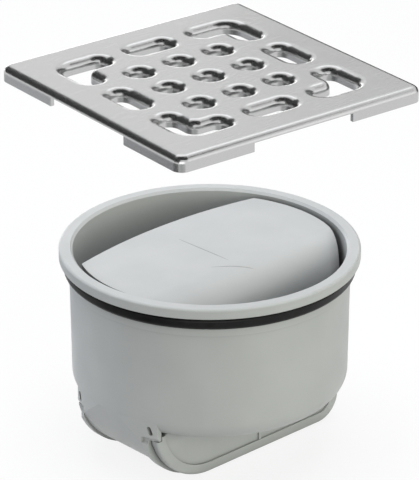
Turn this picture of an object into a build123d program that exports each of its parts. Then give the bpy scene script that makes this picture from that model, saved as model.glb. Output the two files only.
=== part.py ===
"""Shower trap: a bell trap that is pushed into a round floor drain, and its pressed grate, lifted off.

Water runs into the two crescent wells beside the hood, dips under the hood's skirt in the sump,
rises inside the hood and spills over the standpipe, which opens through the bottom of the sump.
"""
import math
import os

from build123d import *

os.makedirs("parts", exist_ok=True)

# All lengths are in millimetres. +Z is up, the trap's axis is the Z axis and its base stands at Z 0.

# Cup: each radius steps out or in from the one below it
TRAP_HEIGHT = 68.0         # base of the sump to the top of the rim
BODY_FOOT_RADIUS = 44.25   # wall at the floor, and down the ends of the sump
BODY_TAPER = 0.5           # how far the wall leans out between the floor and the land
BODY_ROUND = 6.0           # rounding between the wall and the floor
WALL = 1.8
LAND_STEP = 0.45           # guide land under the groove, out from the wall
LAND_HEIGHT = 2.6
SEAT_DEPTH = 0.6           # groove that holds the seal ring, in from the land
SEAT_HEIGHT = 4.3
SEAT_WALL = 1.0            # left between the groove and the mouth
RIM_REACH = 2.8            # overhang of the rim past the land
RIM_HEIGHT = 3.5
RIM_EDGE = 0.8             # rounding of the rim's edges

# Sump: the deep channel across the floor, along X, open at both sides until its caps go on
SUMP_DEPTH = 20.0          # base to the underside of the cup's floor
SUMP_HALF_WIDTH = 13.9     # half of the clear width along Y
SWEEP_RADIUS = 27.0        # wide bend at the -X end
HEEL_RADIUS = 13.0         # tighter bend at the +X end
LIP_THICKNESS = 2.0        # rim round each open side
LIP_PROUD = 1.2            # how far the lips stand below the channel

# Ears: where the cup's wall runs on beside the caps, each with a slot for a cap's hook
EAR_LENGTH = 6.0
EAR_HEIGHT = 8.5
EAR_DROP = 1.5             # how far the ears reach below the cup's floor
EAR_SHORT = 0.2            # set back from the caps' outer face
SLOT_WIDTH = 1.3
SLOT_HEIGHT = 3.1
SLOT_DEPTH = 1.4
SLOT_SETBACK = 0.75        # middle of a slot, out from the lip's face
SLOT_RISE = 3.6            # the same, up from the ear's foot
SLOT_SLANT = 20.0          # how far the slots lean
NOTCH_RADIUS = 1.2         # rounded notch between each ear and the lip under it
NOTCH_DEPTH = 0.8

# Seal ring
SEAL_HEIGHT = 3.8
SEAL_PROUD = 1.4           # how far it stands out past the land
SEAL_ROUND = 1.2
SEAL_CLEARANCE = 0.1

# Hood: the bell over the standpipe
HOOD_DROP = 1.5            # its flat top lies this far under the rim's top
HOOD_GAP = 1.7             # to the mouth, at the top
HOOD_FOOT_GAP = 1.45       # to the cup's wall, at the floor
HOOD_WALL = 1.7
HOOD_FRONT = 19.0          # skirt on the inlet side, along Y
HOOD_BACK = 25.0           # skirt on the rounded side
HOOD_ROUND = 12.0          # rounding of that side
HOOD_UPRIGHT = 4.5         # straight wall under the rounding
BROW_BOW = 4.2             # how far the bowed edge of the top stands out over the skirt
SKIRT_PASS = 2.3           # way for the water between the skirt and the sump's sides
SKIRT_END_PASS = 2.1       # the same at the skirt's -X end
DIP_PASS = 6.5             # the same under the skirt
FOOT_RIB = 2.4             # ribs that stand on the cup's floor
FOOT_RIB_HEIGHT = 5.0
FOOT_RIB_REST = 3.6        # how far they reach onto that floor
FOOT_RIB_PLACE = 22.0

# Standpipe: the overflow inside the hood
PIPE_LENGTH = 46.0
PIPE_WALL = 1.6
PIPE_PASS = 2.7            # way for the water between the skirt and the standpipe
PIPE_HEADROOM = 7.8        # the same over the standpipe's crest

# Caps: they close the two open sides of the sump
CAP_THICKNESS = 2.6
CAP_GROOVE = 0.7           # gap between a cap's flange and the lip
CAP_HEEL = 8.8
CAP_PROUD = 0.9            # how far the flange stands below the channel, short of the lip
CAP_INSET = 3.5            # its wide bend is tighter than the channel's by this
CAP_RIM = 3.4
CAP_EDGE = 0.8             # rounding of the flange's outer edge
CAP_RECESS = 0.7
CAP_PLUG = 1.8             # how far the plug goes in past the lips' outer face
CAP_RIB = 1.0
CAP_RIB_HEIGHT = 0.5
CAP_CLEARANCE = 0.15

# Grate: one pressed sheet with drawn holes
GRATE_SIDE = 94.0
GRATE_HEIGHT = 5.0
GRATE_SHEET = 1.3
GRATE_CORNER = 3.5
GRATE_BEND = 2.4
GRATE_NOTCH = 38.0         # gap in the flange at the middle of each side
GRATE_NOTCH_DROP = 2.1     # top of the grate to the edge of that gap
HOLE_PITCH = 15.5
HOLE_BORE = 7.0
HOLE_ROUND = 2.8           # drawn edge of each hole
COLLAR_WALL = 1.2
COLLAR_DEPTH = 4.4
SLOT_HOLE_LENGTH = 16.0
ELBOW_LEG = 20.4           # end of an elbow hole's leg, from the grate's middle
ELBOW_OUTER = 6.3
ELBOW_INNER = 3.6
GRATE_LIFT = 52.8          # rim of the trap to the feet of the grate
GRATE_TURN = -5.7          # the trap turns freely in its seat, so the grate is out of line with it

# Radii of the cup and the seal ring
INSIDE_RADIUS = BODY_FOOT_RADIUS - WALL
BODY_TOP_RADIUS = BODY_FOOT_RADIUS + BODY_TAPER
LAND_RADIUS = BODY_TOP_RADIUS + LAND_STEP
SEAT_RADIUS = LAND_RADIUS - SEAT_DEPTH
MOUTH_RADIUS = SEAT_RADIUS - SEAT_WALL
RIM_RADIUS = LAND_RADIUS + RIM_REACH
SEAL_RADIUS = LAND_RADIUS + SEAL_PROUD

# Heights
SUMP_UNDER = LIP_PROUD
SUMP_FLOOR = SUMP_UNDER + WALL
FLOOR_UNDER = SUMP_DEPTH
FLOOR_TOP = FLOOR_UNDER + WALL
EAR_FOOT = FLOOR_UNDER - EAR_DROP
SLOT_LEVEL = EAR_FOOT + SLOT_RISE
FLANGE_FOOT = LIP_PROUD - CAP_PROUD
PANEL_FOOT = FLANGE_FOOT + CAP_RIM
RIM_UNDER = TRAP_HEIGHT - RIM_HEIGHT
SEAT_UNDER = RIM_UNDER - SEAT_HEIGHT
LAND_UNDER = SEAT_UNDER - LAND_HEIGHT
HOOD_TOP = TRAP_HEIGHT - HOOD_DROP
DIP_HEIGHT = SUMP_FLOOR + DIP_PASS
PIPE_CREST = HOOD_TOP - HOOD_WALL - PIPE_HEADROOM

# Faces along Y, from the lips outwards
LIP_END = SUMP_HALF_WIDTH + CAP_PLUG
CAP_SEAT = LIP_END + CAP_GROOVE
CAP_FACE = CAP_SEAT + CAP_THICKNESS
EAR_END = CAP_FACE - EAR_SHORT
EAR_WIDTH = EAR_END - LIP_END + LIP_THICKNESS
EAR_MIDDLE = EAR_END - EAR_WIDTH / 2
SLOT_PLACE = LIP_END + SLOT_SETBACK
SLOT_REACH = math.sqrt(BODY_FOOT_RADIUS ** 2 - SLOT_PLACE ** 2)
CAP_HALF = math.sqrt(BODY_FOOT_RADIUS ** 2 - CAP_FACE ** 2)

# Hood, its skirt in the sump and the standpipe inside it
HOOD_RADIUS = MOUTH_RADIUS - HOOD_GAP
HOOD_FOOT_RADIUS = INSIDE_RADIUS - HOOD_FOOT_GAP
FOOT_RIB_REACH = SUMP_HALF_WIDTH + FOOT_RIB_REST
SKIRT_HALF_WIDTH = SUMP_HALF_WIDTH - SKIRT_PASS
SWEEP_INSIDE = SWEEP_RADIUS - WALL
SWEEP_REACH = math.sqrt(SWEEP_INSIDE ** 2 - (SWEEP_INSIDE - DIP_PASS) ** 2)
SKIRT_HALF_LENGTH = BODY_FOOT_RADIUS - SWEEP_RADIUS + SWEEP_REACH - SKIRT_END_PASS
PIPE_WIDTH = 2 * (SKIRT_HALF_WIDTH - HOOD_WALL - PIPE_PASS)
PIPE_PLACE = SKIRT_HALF_LENGTH - HOOD_WALL - PIPE_PASS - PIPE_LENGTH / 2


def corner(sketch, x, y):
    """The vertex of a flat sketch that lies nearest to x, y."""
    return sketch.vertices().sort_by_distance((x, y, 0))[0]


def sump_section(foot, inset, side, heel, top):
    """U-shaped section across the sump on the XZ plane, moved in from the outside by inset."""
    bend = SWEEP_RADIUS - inset
    middle = SWEEP_RADIUS - BODY_FOOT_RADIUS
    height = foot + bend
    start = max(math.acos(min(1.0, (side + middle) / bend)), math.asin(max(0.0, (height - top) / bend)))
    half = (start + math.pi / 2) / 2
    first = (middle - bend * math.cos(start), height - bend * math.sin(start))
    halfway = (middle - bend * math.cos(half), height - bend * math.sin(half))
    turn = heel * (1 - math.sqrt(0.5))
    with BuildSketch(Plane.XZ) as section:
        with BuildLine():
            ThreePointArc(first, halfway, (middle, foot))
            Line((middle, foot), (side - heel, foot))
            ThreePointArc((side - heel, foot), (side - turn, foot + turn), (side, foot + heel))
            Polyline((side, foot + heel), (side, top), (first[0], top))
            if first[1] < top - 0.001:
                Line((first[0], top), first)
        make_face()
    return section.sketch


# The sump's block: the channel, the lips round its open sides and the four ears
channel = sump_section(SUMP_UNDER, 0, BODY_FOOT_RADIUS, HEEL_RADIUS, FLOOR_UNDER + BODY_ROUND)
lip = sump_section(0, 0, BODY_FOOT_RADIUS, HEEL_RADIUS, EAR_FOOT - CAP_CLEARANCE)
hollow = sump_section(SUMP_FLOOR, WALL, INSIDE_RADIUS, HEEL_RADIUS - WALL, FLOOR_UNDER)
throat = sump_section(SUMP_FLOOR, WALL, INSIDE_RADIUS, HEEL_RADIUS - WALL, FLOOR_TOP + BODY_ROUND)

with BuildPart() as sump_block:
    extrude(channel, amount=LIP_END, both=True)
    for side in (-1, 1):
        extrude(Pos(0, side * (LIP_END - LIP_THICKNESS), 0) * lip, amount=LIP_THICKNESS, dir=(0, side, 0))
        for end in (-1, 1):
            with Locations((end * BODY_FOOT_RADIUS, side * EAR_MIDDLE, EAR_FOOT)):
                Box(2 * EAR_LENGTH, EAR_WIDTH, EAR_HEIGHT, align=(Align.CENTER, Align.CENTER, Align.MIN))
    Cylinder(
        BODY_FOOT_RADIUS,
        TRAP_HEIGHT,
        align=(Align.CENTER, Align.CENTER, Align.MIN),
        mode=Mode.INTERSECT,
    )

with BuildPart() as sump_hollow:
    extrude(hollow, amount=LIP_END + LIP_THICKNESS, both=True)
    extrude(throat, amount=SUMP_HALF_WIDTH, both=True)
    Cylinder(
        INSIDE_RADIUS,
        TRAP_HEIGHT,
        align=(Align.CENTER, Align.CENTER, Align.MIN),
        mode=Mode.INTERSECT,
    )

with BuildPart() as ear_notches:
    with Locations((0, 0, EAR_FOOT)):
        Torus(BODY_FOOT_RADIUS + NOTCH_RADIUS - NOTCH_DEPTH, NOTCH_RADIUS)
    with BuildPart(mode=Mode.INTERSECT):
        with Locations((0, EAR_MIDDLE, EAR_FOOT), (0, -EAR_MIDDLE, EAR_FOOT)):
            Box(2 * RIM_RADIUS, EAR_WIDTH, 2 * NOTCH_RADIUS)

with BuildPart() as cup:
    with BuildSketch(Plane.XZ) as outside:
        with BuildLine():
            Polyline(
                (0, FLOOR_UNDER),
                (BODY_FOOT_RADIUS, FLOOR_UNDER),
                (BODY_TOP_RADIUS, LAND_UNDER),
                (LAND_RADIUS, LAND_UNDER),
                (LAND_RADIUS, SEAT_UNDER),
                (SEAT_RADIUS, SEAT_UNDER),
                (SEAT_RADIUS, RIM_UNDER),
                (RIM_RADIUS, RIM_UNDER),
                (RIM_RADIUS, TRAP_HEIGHT),
                (0, TRAP_HEIGHT),
                close=True,
            )
        make_face()
        fillet(corner(outside, BODY_FOOT_RADIUS, FLOOR_UNDER), BODY_ROUND)
        fillet(corner(outside, RIM_RADIUS, TRAP_HEIGHT), RIM_EDGE)
        fillet(corner(outside, RIM_RADIUS, RIM_UNDER), RIM_EDGE / 2)
    revolve(axis=Axis.Z)
    add(sump_block.part)
    with BuildSketch(Plane.XZ) as inside:
        with BuildLine():
            Polyline(
                (0, FLOOR_TOP),
                (INSIDE_RADIUS, FLOOR_TOP),
                (MOUTH_RADIUS, TRAP_HEIGHT - RIM_EDGE),
                (MOUTH_RADIUS + RIM_EDGE, TRAP_HEIGHT),
                (0, TRAP_HEIGHT),
                close=True,
            )
        make_face()
        fillet(corner(inside, INSIDE_RADIUS, FLOOR_TOP), BODY_ROUND - WALL)
    revolve(axis=Axis.Z, mode=Mode.SUBTRACT)
    add(sump_hollow.part, mode=Mode.SUBTRACT)
    # Standpipe, open through the bottom of the sump
    with BuildSketch(Plane.XY.offset(SUMP_UNDER)):
        with Locations((PIPE_PLACE, 0)):
            SlotOverall(PIPE_LENGTH, PIPE_WIDTH)
    extrude(amount=PIPE_CREST - SUMP_UNDER)
    with BuildSketch(Plane.XY):
        with Locations((PIPE_PLACE, 0)):
            SlotOverall(PIPE_LENGTH - 2 * PIPE_WALL, PIPE_WIDTH - 2 * PIPE_WALL)
    extrude(amount=TRAP_HEIGHT, mode=Mode.SUBTRACT)
    # Slots in the ears, and the notches under them
    for end in (-1, 1):
        with BuildSketch(Plane.YZ.offset(end * (SLOT_REACH - SLOT_DEPTH))):
            with Locations((-SLOT_PLACE, SLOT_LEVEL), (SLOT_PLACE, SLOT_LEVEL)):
                SlotOverall(SLOT_HEIGHT, SLOT_WIDTH, rotation=90 - SLOT_SLANT)
        extrude(amount=2 * SLOT_DEPTH * end, mode=Mode.SUBTRACT)
    add(ear_notches.part, mode=Mode.SUBTRACT)
cup.part.label = "cup"
export_step(cup.part, "parts/cup.step")

with BuildPart() as seal_ring:
    with BuildSketch(Plane.XZ) as ring_section:
        with Locations((SEAT_RADIUS + SEAL_CLEARANCE, SEAT_UNDER)):
            Rectangle(
                SEAL_RADIUS - SEAT_RADIUS - SEAL_CLEARANCE,
                SEAL_HEIGHT,
                align=(Align.MIN, Align.MIN),
            )
        fillet(ring_section.vertices().group_by(Axis.X)[-1], SEAL_ROUND)
    revolve(axis=Axis.Z)
seal_ring.part.label = "seal_ring"
export_step(seal_ring.part, "parts/seal_ring.step")


def hood_section(inset):
    """Side profile of the bell on the YZ plane, moved in from the outside by inset."""
    top = HOOD_TOP - inset
    front = HOOD_FRONT - inset
    back = HOOD_BACK - inset
    bend = HOOD_ROUND - inset
    turn = bend * (1 - math.sqrt(0.5))
    knee = HOOD_TOP - HOOD_ROUND - HOOD_UPRIGHT
    foot = FLOOR_TOP + inset
    half = SKIRT_HALF_WIDTH - inset
    with BuildSketch(Plane.YZ) as section:
        with BuildLine():
            Line((front, top), (-back + bend, top))
            ThreePointArc((-back + bend, top), (-back + turn, top - turn), (-back, top - bend))
            Polyline((-back, top - bend), (-back, knee), (-half, foot), (half, foot), (front, top))
        make_face()
    return section.sketch


bell_outside = hood_section(0)
bell_inside = hood_section(HOOD_WALL)

with BuildPart() as bell_core:
    extrude(bell_inside, amount=RIM_RADIUS, both=True)
    with Locations((0, 0, FLOOR_TOP)):
        Cone(
            HOOD_FOOT_RADIUS - HOOD_WALL,
            HOOD_RADIUS - HOOD_WALL,
            HOOD_TOP - FLOOR_TOP,
            align=(Align.CENTER, Align.CENTER, Align.MIN),
            mode=Mode.INTERSECT,
        )
    with Locations((0, 0, FLOOR_TOP + 2 * HOOD_WALL)):
        Box(
            2 * (SKIRT_HALF_LENGTH - HOOD_WALL),
            2 * (SKIRT_HALF_WIDTH - HOOD_WALL),
            FLOOR_TOP,
            align=(Align.CENTER, Align.CENTER, Align.MAX),
        )

with BuildPart() as hood:
    extrude(bell_outside, amount=RIM_RADIUS, both=True)
    with Locations((0, 0, FLOOR_TOP)):
        Cone(
            HOOD_FOOT_RADIUS,
            HOOD_RADIUS,
            HOOD_TOP - FLOOR_TOP,
            align=(Align.CENTER, Align.CENTER, Align.MIN),
            mode=Mode.INTERSECT,
        )
    # Bowed brow along the inlet edge of the top
    with BuildSketch(Plane.XY.offset(HOOD_TOP - HOOD_WALL)) as brow:
        reach = math.sqrt(HOOD_RADIUS ** 2 - HOOD_FRONT ** 2)
        with BuildLine():
            ThreePointArc((-reach, HOOD_FRONT), (0, HOOD_FRONT + BROW_BOW), (reach, HOOD_FRONT))
            Polyline(
                (reach, HOOD_FRONT),
                (reach, HOOD_FRONT - 2 * HOOD_WALL),
                (-reach, HOOD_FRONT - 2 * HOOD_WALL),
                (-reach, HOOD_FRONT),
            )
        make_face()
    extrude(amount=HOOD_WALL)
    # Skirt that dips into the sump, and the ribs that stand on the floor beside it
    with Locations((0, 0, DIP_HEIGHT)):
        Box(
            2 * SKIRT_HALF_LENGTH,
            2 * SKIRT_HALF_WIDTH,
            FLOOR_TOP + HOOD_WALL - DIP_HEIGHT,
            align=(Align.CENTER, Align.CENTER, Align.MIN),
        )
    with Locations((-FOOT_RIB_PLACE, 0, FLOOR_TOP), (FOOT_RIB_PLACE, 0, FLOOR_TOP)):
        Box(FOOT_RIB, 2 * FOOT_RIB_REACH, FOOT_RIB_HEIGHT, align=(Align.CENTER, Align.CENTER, Align.MIN))
    add(bell_core.part, mode=Mode.SUBTRACT)
hood.part.label = "hood"
export_step(hood.part, "parts/hood.step")

flange = sump_section(FLANGE_FOOT, CAP_INSET, CAP_HALF, CAP_HEEL, FLOOR_UNDER - CAP_CLEARANCE)
panel = sump_section(PANEL_FOOT, CAP_INSET + CAP_RIM, CAP_HALF - CAP_RIM, CAP_HEEL - CAP_RIM, FLOOR_UNDER)
plug = sump_section(
    SUMP_FLOOR + CAP_CLEARANCE,
    WALL + CAP_CLEARANCE,
    INSIDE_RADIUS - CAP_CLEARANCE,
    HEEL_RADIUS - WALL - CAP_CLEARANCE,
    FLOOR_UNDER - CAP_CLEARANCE,
)

with BuildPart() as end_cap_front:
    extrude(Pos(0, -CAP_SEAT, 0) * plug, amount=CAP_SEAT - LIP_END + CAP_PLUG, dir=(0, 1, 0))
    Cylinder(
        INSIDE_RADIUS - CAP_CLEARANCE,
        TRAP_HEIGHT,
        align=(Align.CENTER, Align.CENTER, Align.MIN),
        mode=Mode.INTERSECT,
    )
    extrude(Pos(0, -CAP_SEAT, 0) * flange, amount=CAP_THICKNESS, dir=(0, -1, 0))
    outer_edges = end_cap_front.faces().sort_by(Axis.Y)[0].edges()
    fillet(outer_edges.sort_by(Axis.Z)[:-1], CAP_EDGE)
    extrude(Pos(0, -CAP_FACE, 0) * panel, amount=CAP_RECESS, dir=(0, 1, 0), mode=Mode.SUBTRACT)
    with Locations((PIPE_PLACE, -CAP_FACE + CAP_RECESS, PANEL_FOOT)):
        Box(
            CAP_RIB,
            2 * CAP_RIB_HEIGHT,
            FLOOR_UNDER - CAP_CLEARANCE - PANEL_FOOT,
            align=(Align.CENTER, Align.CENTER, Align.MIN),
        )
    # Notches that leave the ears free
    for end in (-1, 1):
        with Locations((end * BODY_FOOT_RADIUS, -CAP_FACE, EAR_FOOT - CAP_CLEARANCE)):
            Box(
                2 * (EAR_LENGTH + CAP_CLEARANCE),
                2 * (CAP_FACE - LIP_END + LIP_THICKNESS),
                EAR_HEIGHT,
                align=(Align.CENTER, Align.CENTER, Align.MIN),
                mode=Mode.SUBTRACT,
            )
end_cap_front.part.label = "end_cap_front"
export_step(end_cap_front.part, "parts/end_cap_front.step")

with BuildPart() as end_cap_rear:
    add(end_cap_front.part)
    mirror(about=Plane.XZ, mode=Mode.REPLACE)
end_cap_rear.part.label = "end_cap_rear"
export_step(end_cap_rear.part, "parts/end_cap_rear.step")

with BuildPart() as pressing:
    with BuildSketch():
        RectangleRounded(GRATE_SIDE, GRATE_SIDE, GRATE_CORNER)
    extrude(amount=GRATE_HEIGHT)
    fillet(pressing.faces().sort_by(Axis.Z)[-1].edges(), GRATE_BEND)
    offset(amount=-GRATE_SHEET, openings=pressing.faces().sort_by(Axis.Z)[0])
    # The flange is cut away at the middle of each side
    for turn in (0, 90):
        with Locations(Location((0, 0, 0), (0, 0, turn))):
            Box(
                GRATE_NOTCH,
                2 * GRATE_SIDE,
                GRATE_HEIGHT - GRATE_NOTCH_DROP,
                align=(Align.CENTER, Align.CENTER, Align.MIN),
                mode=Mode.SUBTRACT,
            )
    # Holes with their drawn collars
    row = 2 * HOLE_PITCH
    with BuildSketch(Plane.XY.offset(GRATE_HEIGHT - COLLAR_DEPTH)) as bores:
        with GridLocations(HOLE_PITCH, HOLE_PITCH, 3, 3):
            Circle(HOLE_BORE / 2)
        with PolarLocations(row, 4):
            SlotOverall(SLOT_HOLE_LENGTH, HOLE_BORE, rotation=90)
        with PolarLocations(0, 4):
            with BuildSketch(mode=Mode.PRIVATE) as elbow:
                with BuildLine():
                    Polyline(
                        (ELBOW_LEG, row - HOLE_BORE / 2),
                        (row - HOLE_BORE / 2, row - HOLE_BORE / 2),
                        (row - HOLE_BORE / 2, ELBOW_LEG),
                        (row + HOLE_BORE / 2, ELBOW_LEG),
                        (row + HOLE_BORE / 2, row + HOLE_BORE / 2),
                        (ELBOW_LEG, row + HOLE_BORE / 2),
                        close=True,
                    )
                make_face()
                fillet(corner(elbow, row - HOLE_BORE / 2, row - HOLE_BORE / 2), ELBOW_INNER)
                fillet(corner(elbow, row + HOLE_BORE / 2, row + HOLE_BORE / 2), ELBOW_OUTER)
                with Locations((ELBOW_LEG, row), (row, ELBOW_LEG)):
                    Circle(HOLE_BORE / 2)
            add(elbow.sketch)
    with BuildSketch(Plane.XY.offset(GRATE_HEIGHT - COLLAR_DEPTH)) as collars:
        add(bores.sketch_local)
        offset(amount=COLLAR_WALL)
    extrude(collars.sketch, amount=COLLAR_DEPTH - GRATE_SHEET / 2)
    extrude(bores.sketch, amount=COLLAR_DEPTH, mode=Mode.SUBTRACT)
    top_face = pressing.faces().sort_by(Axis.Z)[-1]
    fillet([edge for wire in top_face.inner_wires() for edge in wire.edges()], HOLE_ROUND)

with BuildPart() as grate:
    add(pressing.part.moved(Location((0, 0, TRAP_HEIGHT + GRATE_LIFT), (0, 0, GRATE_TURN))))
grate.part.label = "grate"
export_step(grate.part, "parts/grate.step")
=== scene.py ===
# %% [markdown]
# # A shower trap under its lifted grate
# The trap is a grey moulded cup that is pushed into a floor drain. A black seal ring sits in a groove
# under its rim, a hood stands inside it over the overflow pipe, and two caps close the deep sump below.
# The square steel grate has been lifted off and hovers above. Every solid comes ready made from the
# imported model, so this lesson is about finish: three materials that behave like the real ones, two
# fine marks, and a small studio whose light makes satin plastic and bright steel read as what they are.

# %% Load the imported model
import math

import bmesh
import bpy
from mathutils import Matrix, Vector


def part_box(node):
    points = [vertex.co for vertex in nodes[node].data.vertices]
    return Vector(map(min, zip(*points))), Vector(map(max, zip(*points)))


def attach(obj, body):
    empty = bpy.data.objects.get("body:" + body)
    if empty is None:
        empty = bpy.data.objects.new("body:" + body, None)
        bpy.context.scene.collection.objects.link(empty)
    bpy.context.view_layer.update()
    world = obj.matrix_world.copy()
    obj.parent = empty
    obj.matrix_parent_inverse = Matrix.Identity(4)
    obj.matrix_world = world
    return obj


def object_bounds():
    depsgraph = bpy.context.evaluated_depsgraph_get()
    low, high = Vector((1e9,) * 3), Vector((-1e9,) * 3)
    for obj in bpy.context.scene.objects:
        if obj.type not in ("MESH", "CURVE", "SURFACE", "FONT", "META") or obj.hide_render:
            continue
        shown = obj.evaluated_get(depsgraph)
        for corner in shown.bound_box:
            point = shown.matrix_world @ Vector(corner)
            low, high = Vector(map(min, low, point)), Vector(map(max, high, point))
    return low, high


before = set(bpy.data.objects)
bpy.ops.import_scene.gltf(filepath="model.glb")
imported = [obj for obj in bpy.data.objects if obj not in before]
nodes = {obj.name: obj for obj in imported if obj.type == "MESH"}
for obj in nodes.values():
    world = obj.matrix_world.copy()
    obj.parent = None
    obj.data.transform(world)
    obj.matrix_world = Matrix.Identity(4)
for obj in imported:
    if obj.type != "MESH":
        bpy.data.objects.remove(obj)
cad_low, cad_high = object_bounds()
scene = bpy.context.scene
scene.view_settings.view_transform = "Standard"
MM = 0.001
for name in sorted(nodes):
    print(f"{name}: {len(nodes[name].data.polygons)} faces")

# %% [markdown]
# ## Starting a material
# A material in Blender is a small graph of nodes. Each finish here starts from one Principled shader,
# which can be plastic, rubber, metal or paper. Its plain values go straight onto its own sockets, and
# a pattern that is linked to a socket later takes the place of the plain value.

# %% Start a material


def start_material(name, colour, roughness, metallic=0.0):
    """A new material with one Principled shader, whose plain values are set on its own sockets."""
    material = bpy.data.materials.new(name)
    material.use_nodes = True
    shader = material.node_tree.nodes["Principled BSDF"]
    shader.inputs["Base Color"].default_value = (*colour, 1.0)
    shader.inputs["Roughness"].default_value = roughness
    shader.inputs["Metallic"].default_value = metallic
    return material, shader


# %% [markdown]
# ## Patterns from noise
# No moulded or ground surface is the same all over. A noise that reads Object coordinates gives it
# drift: those are metres on the piece itself, so a pattern keeps its real size on every piece and
# stays put from any side. Two more helpers turn the noise into a range of values or into a mix of two
# colours. Most of a noise lies in a band round its middle, so that band is what they spread out.

# %% Noise helpers
NOISE_LOW = 0.3
NOISE_HIGH = 0.7


def add_noise(material, grain, detail=2.0, stretch=(1.0, 1.0, 1.0), turn=0.0):
    """A noise with cells of about grain metres, drawn out along the axes and turned about Z."""
    tree = material.node_tree
    place = tree.nodes.new("ShaderNodeTexCoord")
    mapping = tree.nodes.new("ShaderNodeMapping")
    mapping.inputs["Rotation"].default_value[2] = turn
    mapping.inputs["Scale"].default_value = stretch
    noise = tree.nodes.new("ShaderNodeTexNoise")
    noise.inputs["Scale"].default_value = 1.0 / grain
    noise.inputs["Detail"].default_value = detail
    tree.links.new(place.outputs["Object"], mapping.inputs["Vector"])
    tree.links.new(mapping.outputs["Vector"], noise.inputs["Vector"])
    return noise.outputs["Fac"]


def spread_to(material, factor, low, high):
    """Maps the band in which most of a noise lies to a range of values."""
    spread = material.node_tree.nodes.new("ShaderNodeMapRange")
    spread.inputs["From Min"].default_value = NOISE_LOW
    spread.inputs["From Max"].default_value = NOISE_HIGH
    spread.inputs["To Min"].default_value = low
    spread.inputs["To Max"].default_value = high
    material.node_tree.links.new(factor, spread.inputs["Value"])
    return spread.outputs["Result"]


def blend_colours(material, factor, first, second):
    """A colour that drifts between two others."""
    mix = material.node_tree.nodes.new("ShaderNodeMix")
    mix.data_type = "RGBA"
    mix.inputs["A"].default_value = (*first, 1.0)
    mix.inputs["B"].default_value = (*second, 1.0)
    material.node_tree.links.new(factor, mix.inputs["Factor"])
    return mix.outputs["Result"]


# %% [markdown]
# ## Corners and skin
# Moulded corners get painted shade: an Ambient Occlusion node, which tells how much of a point's
# surroundings is close by, finds them and darkens the colour there. A bump tilts the shading as a
# height would, without moving the surface, which is right for grain that is far finer than a face of the
# mesh.

# %% Crevice and bump helpers


def paint_crevice_shade(material, colour, reach, share):
    """The colour with painted shade: darkened by a share where other faces crowd in within reach metres.
    """
    tree = material.node_tree
    crowding = tree.nodes.new("ShaderNodeAmbientOcclusion")
    crowding.inputs["Distance"].default_value = reach
    mix = tree.nodes.new("ShaderNodeMix")
    mix.data_type = "RGBA"
    mix.inputs["Factor"].default_value = share
    tree.links.new(colour, crowding.inputs["Color"])
    tree.links.new(colour, mix.inputs["A"])
    tree.links.new(crowding.outputs["Color"], mix.inputs["B"])
    return mix.outputs["Result"]


def add_bump(material, height, depth, under=None):
    """A bump of depth metres, on top of another bump if one is given."""
    bump = material.node_tree.nodes.new("ShaderNodeBump")
    bump.inputs["Distance"].default_value = depth
    material.node_tree.links.new(height, bump.inputs["Height"])
    if under is not None:
        material.node_tree.links.new(under, bump.inputs["Normal"])
    return bump.outputs["Normal"]


# %% [markdown]
# ## Satin grey plastic
# The cup, the hood and the caps are injection moulded in one light grey plastic. Up close such a
# plastic has a fine spark-eroded grain from the mould, and its colour and gloss drift a little where
# the melt flowed. A flat grey would look like card. Two noises do the work here: a broad one for the
# drift and a fine one for the grain, which blurs reflections as the real skin does.

# %% Grey plastic
PLASTIC_PALE = (0.565, 0.575, 0.568)
PLASTIC_DEEP = (0.530, 0.541, 0.535)
PLASTIC_GLOSSY = 0.36
PLASTIC_DULL = 0.46
FLOW_SIZE = 18 * MM
MOULD_GRAIN = 0.35 * MM
MOULD_GRAIN_DEPTH = 0.006 * MM
CREVICE_REACH = 5 * MM
CREVICE_SHADE_SHARE = 0.6


def make_plastic(name, pale, deep):
    material, shader = start_material(name, pale, PLASTIC_GLOSSY)
    tree = material.node_tree
    drift = add_noise(material, FLOW_SIZE, detail=3.0)
    tint = blend_colours(material, spread_to(material, drift, 0.0, 1.0), pale, deep)
    # painted shade: the colour darkens in crevices, gaps and under overhangs
    tint = paint_crevice_shade(material, tint, CREVICE_REACH, CREVICE_SHADE_SHARE)
    tree.links.new(tint, shader.inputs["Base Color"])
    gloss = spread_to(material, drift, PLASTIC_GLOSSY, PLASTIC_DULL)
    tree.links.new(gloss, shader.inputs["Roughness"])
    grain = add_noise(material, MOULD_GRAIN, detail=3.0)
    tree.links.new(add_bump(material, grain, MOULD_GRAIN_DEPTH), shader.inputs["Normal"])
    return material


plastic = make_plastic("satin_grey_plastic", PLASTIC_PALE, PLASTIC_DEEP)
print("plastic drifts between", PLASTIC_PALE, "and", PLASTIC_DEEP)

# %% [markdown]
# ## Seal rubber
# The ring is a soft black rubber with a dull bloom on it. Pure black would swallow its rounded edge,
# so the colour stays a little above black, and a noise breaks up the gloss as handling does.

# %% Seal rubber
RUBBER_BLACK = (0.005, 0.0052, 0.005)
RUBBER_BLOOM = (0.010, 0.0105, 0.010)
RUBBER_SHEEN = 0.2
RUBBER_GLOSSY = 0.28
RUBBER_DULL = 0.42
BLOOM_SIZE = 3 * MM
RUBBER_GRAIN = 0.2 * MM
RUBBER_GRAIN_DEPTH = 0.008 * MM


def make_rubber():
    material, shader = start_material("black_seal_rubber", RUBBER_BLACK, RUBBER_GLOSSY)
    shader.inputs["Specular IOR Level"].default_value = RUBBER_SHEEN
    tree = material.node_tree
    bloom = add_noise(material, BLOOM_SIZE, detail=4.0)
    amount = spread_to(material, bloom, 0.0, 1.0)
    tint = blend_colours(material, amount, RUBBER_BLACK, RUBBER_BLOOM)
    tree.links.new(tint, shader.inputs["Base Color"])
    gloss = spread_to(material, bloom, RUBBER_GLOSSY, RUBBER_DULL)
    tree.links.new(gloss, shader.inputs["Roughness"])
    skin = add_noise(material, RUBBER_GRAIN)
    tree.links.new(add_bump(material, skin, RUBBER_GRAIN_DEPTH), shader.inputs["Normal"])
    return material


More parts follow.
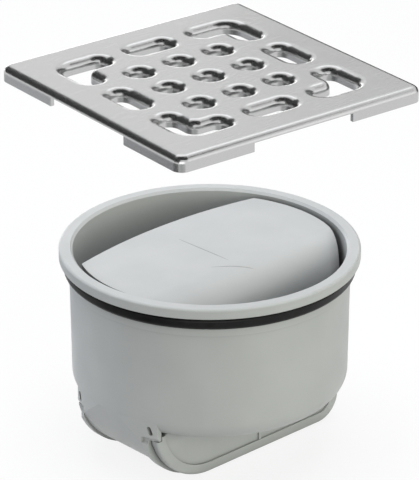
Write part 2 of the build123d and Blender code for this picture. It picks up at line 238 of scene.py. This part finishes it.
rubber = make_rubber()
print("rubber blooms from", RUBBER_BLACK, "to", RUBBER_BLOOM)

# %% [markdown]
# ## Pressed stainless steel
# The grate is one sheet of stainless steel, ground to a satin and then pressed, so the drawn edges of
# its holes are stretched bright. Metal has hardly any colour of its own: it shows the studio. What the
# material adds is the width of the highlights (roughness), the faint lines of the belt that ground it
# (a noise drawn out along one edge of the sheet) and a slow waviness that no pressed sheet is free of.

# %% Pressed steel
STEEL = (0.55, 0.552, 0.55)
STEEL_GLOSSY = 0.20
STEEL_DULL = 0.28
GRATE_TURN = math.radians(-5.7)
GRIND_WIDTH = 0.22 * MM
GRIND_STRETCH = (0.02, 1.0, 1.0)
GRIND_DEPTH = 0.0006 * MM
WAVE_SIZE = 22 * MM
WAVE_DEPTH = 0.12 * MM


def make_steel():
    material, shader = start_material("pressed_steel", STEEL, STEEL_GLOSSY, metallic=1.0)
    tree = material.node_tree
    ground = add_noise(material, GRIND_WIDTH, stretch=GRIND_STRETCH, turn=-GRATE_TURN)
    gloss = spread_to(material, ground, STEEL_GLOSSY, STEEL_DULL)
    tree.links.new(gloss, shader.inputs["Roughness"])
    lines = add_bump(material, ground, GRIND_DEPTH)
    waves = add_noise(material, WAVE_SIZE)
    tree.links.new(add_bump(material, waves, WAVE_DEPTH, under=lines), shader.inputs["Normal"])
    return material


steel = make_steel()
print("steel mirrors", STEEL, "of its surroundings")

# %% [markdown]
# ## Dressing the pieces
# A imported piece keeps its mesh: it only gets a new material in its slot. The grate hovers close above
# the trap, and its shadow would lie right across the hood. The photograph shows each of them lit on
# its own, so the grate lets the light for the other pieces through.

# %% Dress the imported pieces


def dress(node, material):
    """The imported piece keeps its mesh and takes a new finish."""
    slots = node.data.materials
    slots.clear()
    slots.append(material)


for name in ("cup", "hood", "end_cap_front", "end_cap_rear"):
    dress(nodes[name], plastic)
dress(nodes["seal_ring"], rubber)
dress(nodes["grate"], steel)
nodes["grate"].visible_shadow = False
nodes["grate"].visible_diffuse = False
for name in sorted(nodes):
    print(name, "is finished in", nodes[name].data.materials[0].name)

# %% [markdown]
# ## Score lines on the hood
# Two hairlines run over the top of the hood, where the mould was scored. They could be painted, but a
# mark that catches light from any side has to be a shape: each is a sphere, squeezed to a long thin
# lens and laid half sunk on the hood, so that it fades out at both ends as the real ones do. The lines
# get a deeper grey of the same make, which is painted shade for the shade in a scored crease.

# %% Score lines
LINE_SHADE_PALE = (0.36, 0.37, 0.365)
LINE_SHADE_DEEP = (0.30, 0.31, 0.305)
LINE_WIDTH = 0.3 * MM
LINE_HEIGHT = 0.06 * MM
LINE_SIDES = 12
LINE_STEPS = 48
SCORE_LINES = {
    # name: start and end, seen from above
    "score_line_long": (Vector((-2.4, 12.3, 0)) * MM, Vector((-1.6, -10.5, 0)) * MM),
    "score_line_side": (Vector((-9.3, -10.4, 0)) * MM, Vector((1.6, -18.4, 0)) * MM),
}
DOWN = Vector((0, 0, -1))

# the deeper grey of the score lines is painted shade
scored = make_plastic("score_line_shade_plastic", LINE_SHADE_PALE, LINE_SHADE_DEEP)


def hood_height(x, y):
    """Height of the hood's skin under a point."""
    above = Vector((x, y, cad_high.z))
    _, place, _, _ = nodes["hood"].ray_cast(above, DOWN)
    return place.z


def add_score_line(name, start, end):
    along = end - start
    middle = (start + end) / 2
    turn = Matrix.Rotation(math.atan2(along.y, along.x), 3, "Z")
    lens = (along.length / 2, LINE_WIDTH / 2, LINE_HEIGHT)
    shape = bmesh.new()
    bmesh.ops.create_uvsphere(shape, u_segments=LINE_SIDES, v_segments=LINE_STEPS, radius=1.0)
    bmesh.ops.rotate(shape, verts=shape.verts, matrix=Matrix.Rotation(math.pi / 2, 3, "Y"))
    bmesh.ops.scale(shape, verts=shape.verts, vec=lens)
    bmesh.ops.rotate(shape, verts=shape.verts, matrix=turn)
    bmesh.ops.translate(shape, verts=shape.verts, vec=middle)
    for vertex in shape.verts:
        vertex.co.z += hood_height(vertex.co.x, vertex.co.y)
    for face in shape.faces:
        face.smooth = True
    mesh = bpy.data.meshes.new(name)
    shape.to_mesh(mesh)
    shape.free()
    piece = bpy.data.objects.new(name, mesh)
    scene.collection.objects.link(piece)
    piece.data.materials.append(scored)
    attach(piece, "root")
    print(f"{name}: {along.length / MM:.1f} mm long")


bpy.context.view_layer.update()
for name, (start, end) in SCORE_LINES.items():
    add_score_line(name, start, end)

# %% [markdown]
# ## Camera
# The photograph is taken from far off with a long lens, so edges that run away from us hardly meet.
# The camera looks at the middle of the trap's rim, and a small offset of that point frames the picture.

# %% Camera
CAMERA_TURN = math.radians(-43.0)
CAMERA_RISE = math.radians(24.7)
CAMERA_DISTANCE = 1.1
LENS = 260.0
FRAME_RIGHT = -0.1 * MM
FRAME_UP = 1.3 * MM
CLIP_NEAR = 0.05
CLIP_FAR = 50.0

rim_centre = Vector((0, 0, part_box("cup")[1].z))
right = Vector((math.cos(CAMERA_TURN), math.sin(CAMERA_TURN), 0))
back = Vector((
    math.sin(CAMERA_TURN) * math.cos(CAMERA_RISE),
    -math.cos(CAMERA_TURN) * math.cos(CAMERA_RISE),
    math.sin(CAMERA_RISE),
))
up = back.cross(right)
aim = rim_centre + right * FRAME_RIGHT + up * FRAME_UP
camera_data = bpy.data.cameras.new("camera")
camera_data.lens = LENS
camera_data.clip_start = CLIP_NEAR
camera_data.clip_end = CLIP_FAR
camera = bpy.data.objects.new("camera", camera_data)
camera.location = aim + back * CAMERA_DISTANCE
camera.rotation_euler = back.to_track_quat("Z", "Y").to_euler()
scene.collection.objects.link(camera)
scene.camera = camera
print(f"camera stands {CAMERA_DISTANCE} m off with a lens of {LENS:.0f} mm")

# %% [markdown]
# ## Studio
# Steel and satin plastic only look right in a studio that has both bright and dark things to show.
# Whatever stands there is placed in the same way: by the angle round the object, the angle above the
# floor and the distance.

# %% Places in the studio
STUDIO_CENTRE = Vector((0, 0, 0.1))


def studio_place(turn, rise, distance):
    """A place turn degrees clockwise from straight behind the object, and rise degrees up."""
    turn, rise = math.radians(turn), math.radians(rise)
    away = Vector((-back.x, -back.y, 0)).normalized()
    flat = away * math.cos(turn) + right * math.sin(turn)
    return STUDIO_CENTRE + (flat * math.cos(rise) + Vector((0, 0, math.sin(rise)))) * distance


print("the studio stands round", tuple(STUDIO_CENTRE))

# %% [markdown]
# ### Softboxes
# A softbox is an area light. The largest hangs overhead and gives the tops their tone. Wide boxes at
# both sides and in front model the round wall of the cup, a little warmer on the right than on the
# left, as in the photograph. Strips behind the object, at the horizon and on the right are there for
# the steel: they draw the bright lines along its bends and the rims of its holes. The boxes overhead
# and at the sides are kept out of the steel, where their mirror images would burn out the plate.

# %% Softboxes
COOL = (0.95, 0.955, 1.0)
BLUISH = (0.88, 0.94, 1.0)
GREENISH = (0.96, 1.0, 0.87)
NEUTRAL = (1.0, 1.0, 1.0)
SOFTBOXES = {
    # name: turn, rise, distance, (width, height), power, colour, seen in mirrors
    "softbox_above": (0, 84, 0.9, (0.9, 0.9), 8.2, COOL, False),
    "softbox_behind": (0, 58, 0.9, (0.9, 0.28), 0.7, COOL, True),
    "softbox_right": (139, 14, 0.9, (0.9, 0.6), 3.7, GREENISH, False),
    "softbox_far_right": (80, 20, 0.9, (0.6, 0.6), 0.5, NEUTRAL, False),
    "softbox_front": (180, 3, 1.3, (1.2, 0.36), 2.4, NEUTRAL, True),
    "softbox_left": (-82, 20, 0.9, (0.9, 0.7), 3.7, BLUISH, False),
    "softbox_horizon": (-20, 3, 1.2, (1.3, 0.24), 2.3, NEUTRAL, True),
    "softbox_bend": (105, 14, 0.8, (0.6, 0.26), 0.2, NEUTRAL, True),
}


def add_softbox(name, turn, rise, distance, size, power, colour, mirrored):
    light = bpy.data.lights.new(name, "AREA")
    light.shape = "RECTANGLE"
    light.size, light.size_y = size
    light.energy = power
    light.color = colour
    lamp = bpy.data.objects.new(name, light)
    lamp.location = studio_place(turn, rise, distance)
    lamp.rotation_euler = (lamp.location - STUDIO_CENTRE).to_track_quat("Z", "Y").to_euler()
    lamp.visible_glossy = mirrored
    scene.collection.objects.link(lamp)


for name, settings in SOFTBOXES.items():
    add_softbox(name, *settings)
total_power = sum(bpy.data.lights[name].energy for name in SOFTBOXES)
print(f"{len(SOFTBOXES)} softboxes, {total_power:.1f} W in all")

# %% [markdown]
# ### Cards for the steel
# Steel shows whatever stands round it, so its dark streaks are made by dark things. These cards are
# seen by reflections alone: they neither show in the picture nor take light from the plastic. Those
# that stand, which photographers call flags, put the dark line into each bend. Those on the floor tone
# the upright flanges, in which a camera that looks down sees the floor.

# %% Cards
CARD_LIFT = 1 * MM
PAPER_ROUGHNESS = 0.9
HALF_METRE = 0.5
FLAGS = {
    # name: turn, rise, distance, (width, height), shade
    "flag_above": (180, 66, 0.9, (2.0, 0.9), 0.03),
    "flag_left": (-65, 26, 0.8, (1.1, 0.7), 0.08),
    "flag_near_left": (-130, 30, 0.8, (0.9, 0.8), 0.06),
    "flag_right": (36, 8, 0.9, (1.2, 0.44), 0.05),
}
FLOOR_CARDS = {
    # name: turn, distance, (width, depth), shade
    "floor_card_left": (-75, 0.3, (0.3, 0.3), 0.5),
    "floor_card_near_left": (-120, 0.3, (0.34, 0.34), 0.1),
    "floor_card_near": (180, 0.3, (0.24, 0.24), 0.4),
}


def add_card(name, place, facing, size, shade):
    """A card that shows only in reflections. A grid's size is half of its side."""
    shape = bmesh.new()
    bmesh.ops.create_grid(shape, x_segments=1, y_segments=1, size=HALF_METRE)
    bmesh.ops.scale(shape, verts=shape.verts, vec=(*size, 1.0))
    mesh = bpy.data.meshes.new(name)
    shape.to_mesh(mesh)
    shape.free()
    card = bpy.data.objects.new(name, mesh)
    card.location = place
    card.rotation_euler = facing.to_track_quat("Z", "Y").to_euler()
    paper, _ = start_material(name, (shade, shade, shade), PAPER_ROUGHNESS)
    mesh.materials.append(paper)
    card.visible_camera = False
    card.visible_diffuse = False
    card.visible_shadow = False
    scene.collection.objects.link(card)


for name, (turn, rise, distance, size, shade) in FLAGS.items():
    place = studio_place(turn, rise, distance)
    add_card(name, place, STUDIO_CENTRE - place, size, shade)
for name, (turn, distance, size, shade) in FLOOR_CARDS.items():
    place = studio_place(turn, 0, distance)
    place.z = cad_low.z + CARD_LIFT
    add_card(name, place, Vector((0, 0, 1)), size, shade)
print(f"{len(FLAGS)} standing cards and {len(FLOOR_CARDS)} on the floor")

# %% [markdown]
# ## White background
# The background is plain white. Camera rays, and rays that mirror or pass through something, see a
# white world. All other rays get a dimmer one, so that the white doesn't flood the object with light.

# %% World
AMBIENT = 0.07
WHITE = (1.0, 1.0, 1.0, 1.0)


def sees_background(tree):
    """1 for a ray that shows the background as it is, 0 for one that only carries light."""
    path = tree.nodes.new("ShaderNodeLightPath")
    total = path.outputs["Is Camera Ray"]
    for kind in ("Is Glossy Ray", "Is Transmission Ray"):
        larger = tree.nodes.new("ShaderNodeMath")
        larger.operation = "MAXIMUM"
        tree.links.new(total, larger.inputs[0])
        tree.links.new(path.outputs[kind], larger.inputs[1])
        total = larger.outputs["Value"]
    return total


def make_world():
    world = bpy.data.worlds.new("white_studio")
    world.use_nodes = True
    tree = world.node_tree
    dim = tree.nodes["Background"]
    dim.inputs["Color"].default_value = WHITE
    dim.inputs["Strength"].default_value = AMBIENT
    white = tree.nodes.new("ShaderNodeBackground")
    white.inputs["Color"].default_value = WHITE
    mix = tree.nodes.new("ShaderNodeMixShader")
    tree.links.new(sees_background(tree), mix.inputs["Fac"])
    tree.links.new(dim.outputs["Background"], mix.inputs[1])
    tree.links.new(white.outputs["Background"], mix.inputs[2])
    tree.links.new(mix.outputs["Shader"], tree.nodes["World Output"].inputs["Surface"])
    return world


scene.world = make_world()
print(f"the white world gives {AMBIENT:.0%} of its light")

# %% [markdown]
# ## White floor
# The floor is white to the camera and to mirrors as well, and a duller white to rays that only carry
# light, so that it doesn't light the trap too much from below. It glows most of its white and keeps a
# small share of real shading, so a faint shadow stays under the trap.

# %% Floor
FLOOR_WHITE = 0.95
FLOOR_BOUNCE = 0.38
FLOOR_SHADE = 0.14
FLOOR_ROUGHNESS = 0.8
FLOOR_HALF_SIDE = 4.0
FLOOR_DROP = 0.02 * MM


def make_floor_paint():
    material, shader = start_material("white_floor", (FLOOR_WHITE,) * 3, FLOOR_ROUGHNESS)
    tree = material.node_tree
    seen = sees_background(tree)
    paint = blend_colours(material, seen, (FLOOR_BOUNCE,) * 3, (FLOOR_WHITE,) * 3)
    tree.links.new(paint, shader.inputs["Base Color"])
    glow = tree.nodes.new("ShaderNodeEmission")
    share = tree.nodes.new("ShaderNodeMath")
    share.operation = "MULTIPLY"
    share.inputs[1].default_value = 1.0 - FLOOR_SHADE
    tree.links.new(seen, share.inputs[0])
    mix = tree.nodes.new("ShaderNodeMixShader")
    tree.links.new(share.outputs["Value"], mix.inputs["Fac"])
    tree.links.new(shader.outputs["BSDF"], mix.inputs[1])
    tree.links.new(glow.outputs["Emission"], mix.inputs[2])
    tree.links.new(mix.outputs["Shader"], tree.nodes["Material Output"].inputs["Surface"])
    return material


shape = bmesh.new()
bmesh.ops.create_grid(shape, x_segments=1, y_segments=1, size=FLOOR_HALF_SIDE)
floor_mesh = bpy.data.meshes.new("floor")
shape.to_mesh(floor_mesh)
shape.free()
floor_mesh.materials.append(make_floor_paint())
floor = bpy.data.objects.new("floor", floor_mesh)
floor.location.z = cad_low.z - FLOOR_DROP
scene.collection.objects.link(floor)
print(f"floor lies {-floor.location.z / MM:.2f} mm under the origin of the model")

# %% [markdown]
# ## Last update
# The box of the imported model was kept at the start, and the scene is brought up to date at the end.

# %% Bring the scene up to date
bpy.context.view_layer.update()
